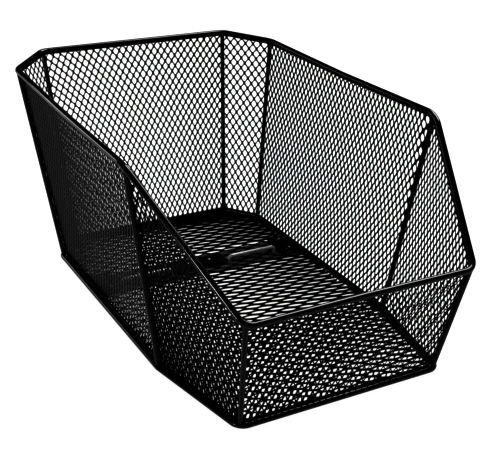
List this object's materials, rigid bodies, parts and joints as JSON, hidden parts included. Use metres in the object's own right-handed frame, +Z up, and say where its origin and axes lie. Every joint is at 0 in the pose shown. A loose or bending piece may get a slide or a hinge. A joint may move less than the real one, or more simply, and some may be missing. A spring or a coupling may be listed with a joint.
{
  "type": "rear bicycle basket",
  "caption": "Open wire and expanded-metal basket for a bicycle's rear rack, with sloping sides down to a low front and a strap across its floor to fasten it.",
  "frame": {"origin": "on the standing plane under the middle of the rim's outline", "axes": "+X across the basket to its right, +Y from the low front end to the high rear end, +Z up"},
  "size_m": [0.2866, 0.4072, 0.1851],
  "materials": {
    "frame_coat": "near-black semi-gloss powder coat",
    "sheet_coat": "near-black satin powder coat on expanded metal",
    "plate_coat": "near-black semi-gloss powder coat",
    "rivet_coat": "near-black gloss coat"
  },
  "bodies": {
    "root": {"rim_wire": "frame_coat", "base_wire": "frame_coat", "strut_front_left": "frame_coat", "strut_front_right": "frame_coat", "strut_shoulder_right": "frame_coat", "strut_quarter_right": "frame_coat", "strut_rear_right": "frame_coat", "strut_rear_left": "frame_coat", "strut_quarter_left": "frame_coat", "strut_shoulder_left": "frame_coat", "anchor_bar_left": "frame_coat", "anchor_bar_right": "frame_coat", "mesh_front": "sheet_coat", "mesh_front_right": "sheet_coat", "mesh_right": "sheet_coat", "mesh_quarter_right": "sheet_coat", "mesh_rear": "sheet_coat", "mesh_quarter_left": "sheet_coat", "mesh_left": "sheet_coat", "mesh_front_left": "sheet_coat", "mesh_floor": "sheet_coat", "rack_strap": "plate_coat", "saddle_plate": "plate_coat", "end_plate_left": "plate_coat", "end_plate_right": "plate_coat", "rivet_saddle_left": "rivet_coat", "rivet_saddle_right": "rivet_coat", "rivet_left_front": "rivet_coat", "rivet_left_rear": "rivet_coat", "rivet_right_front": "rivet_coat", "rivet_right_rear": "rivet_coat"}
  },
  "joints": []
}
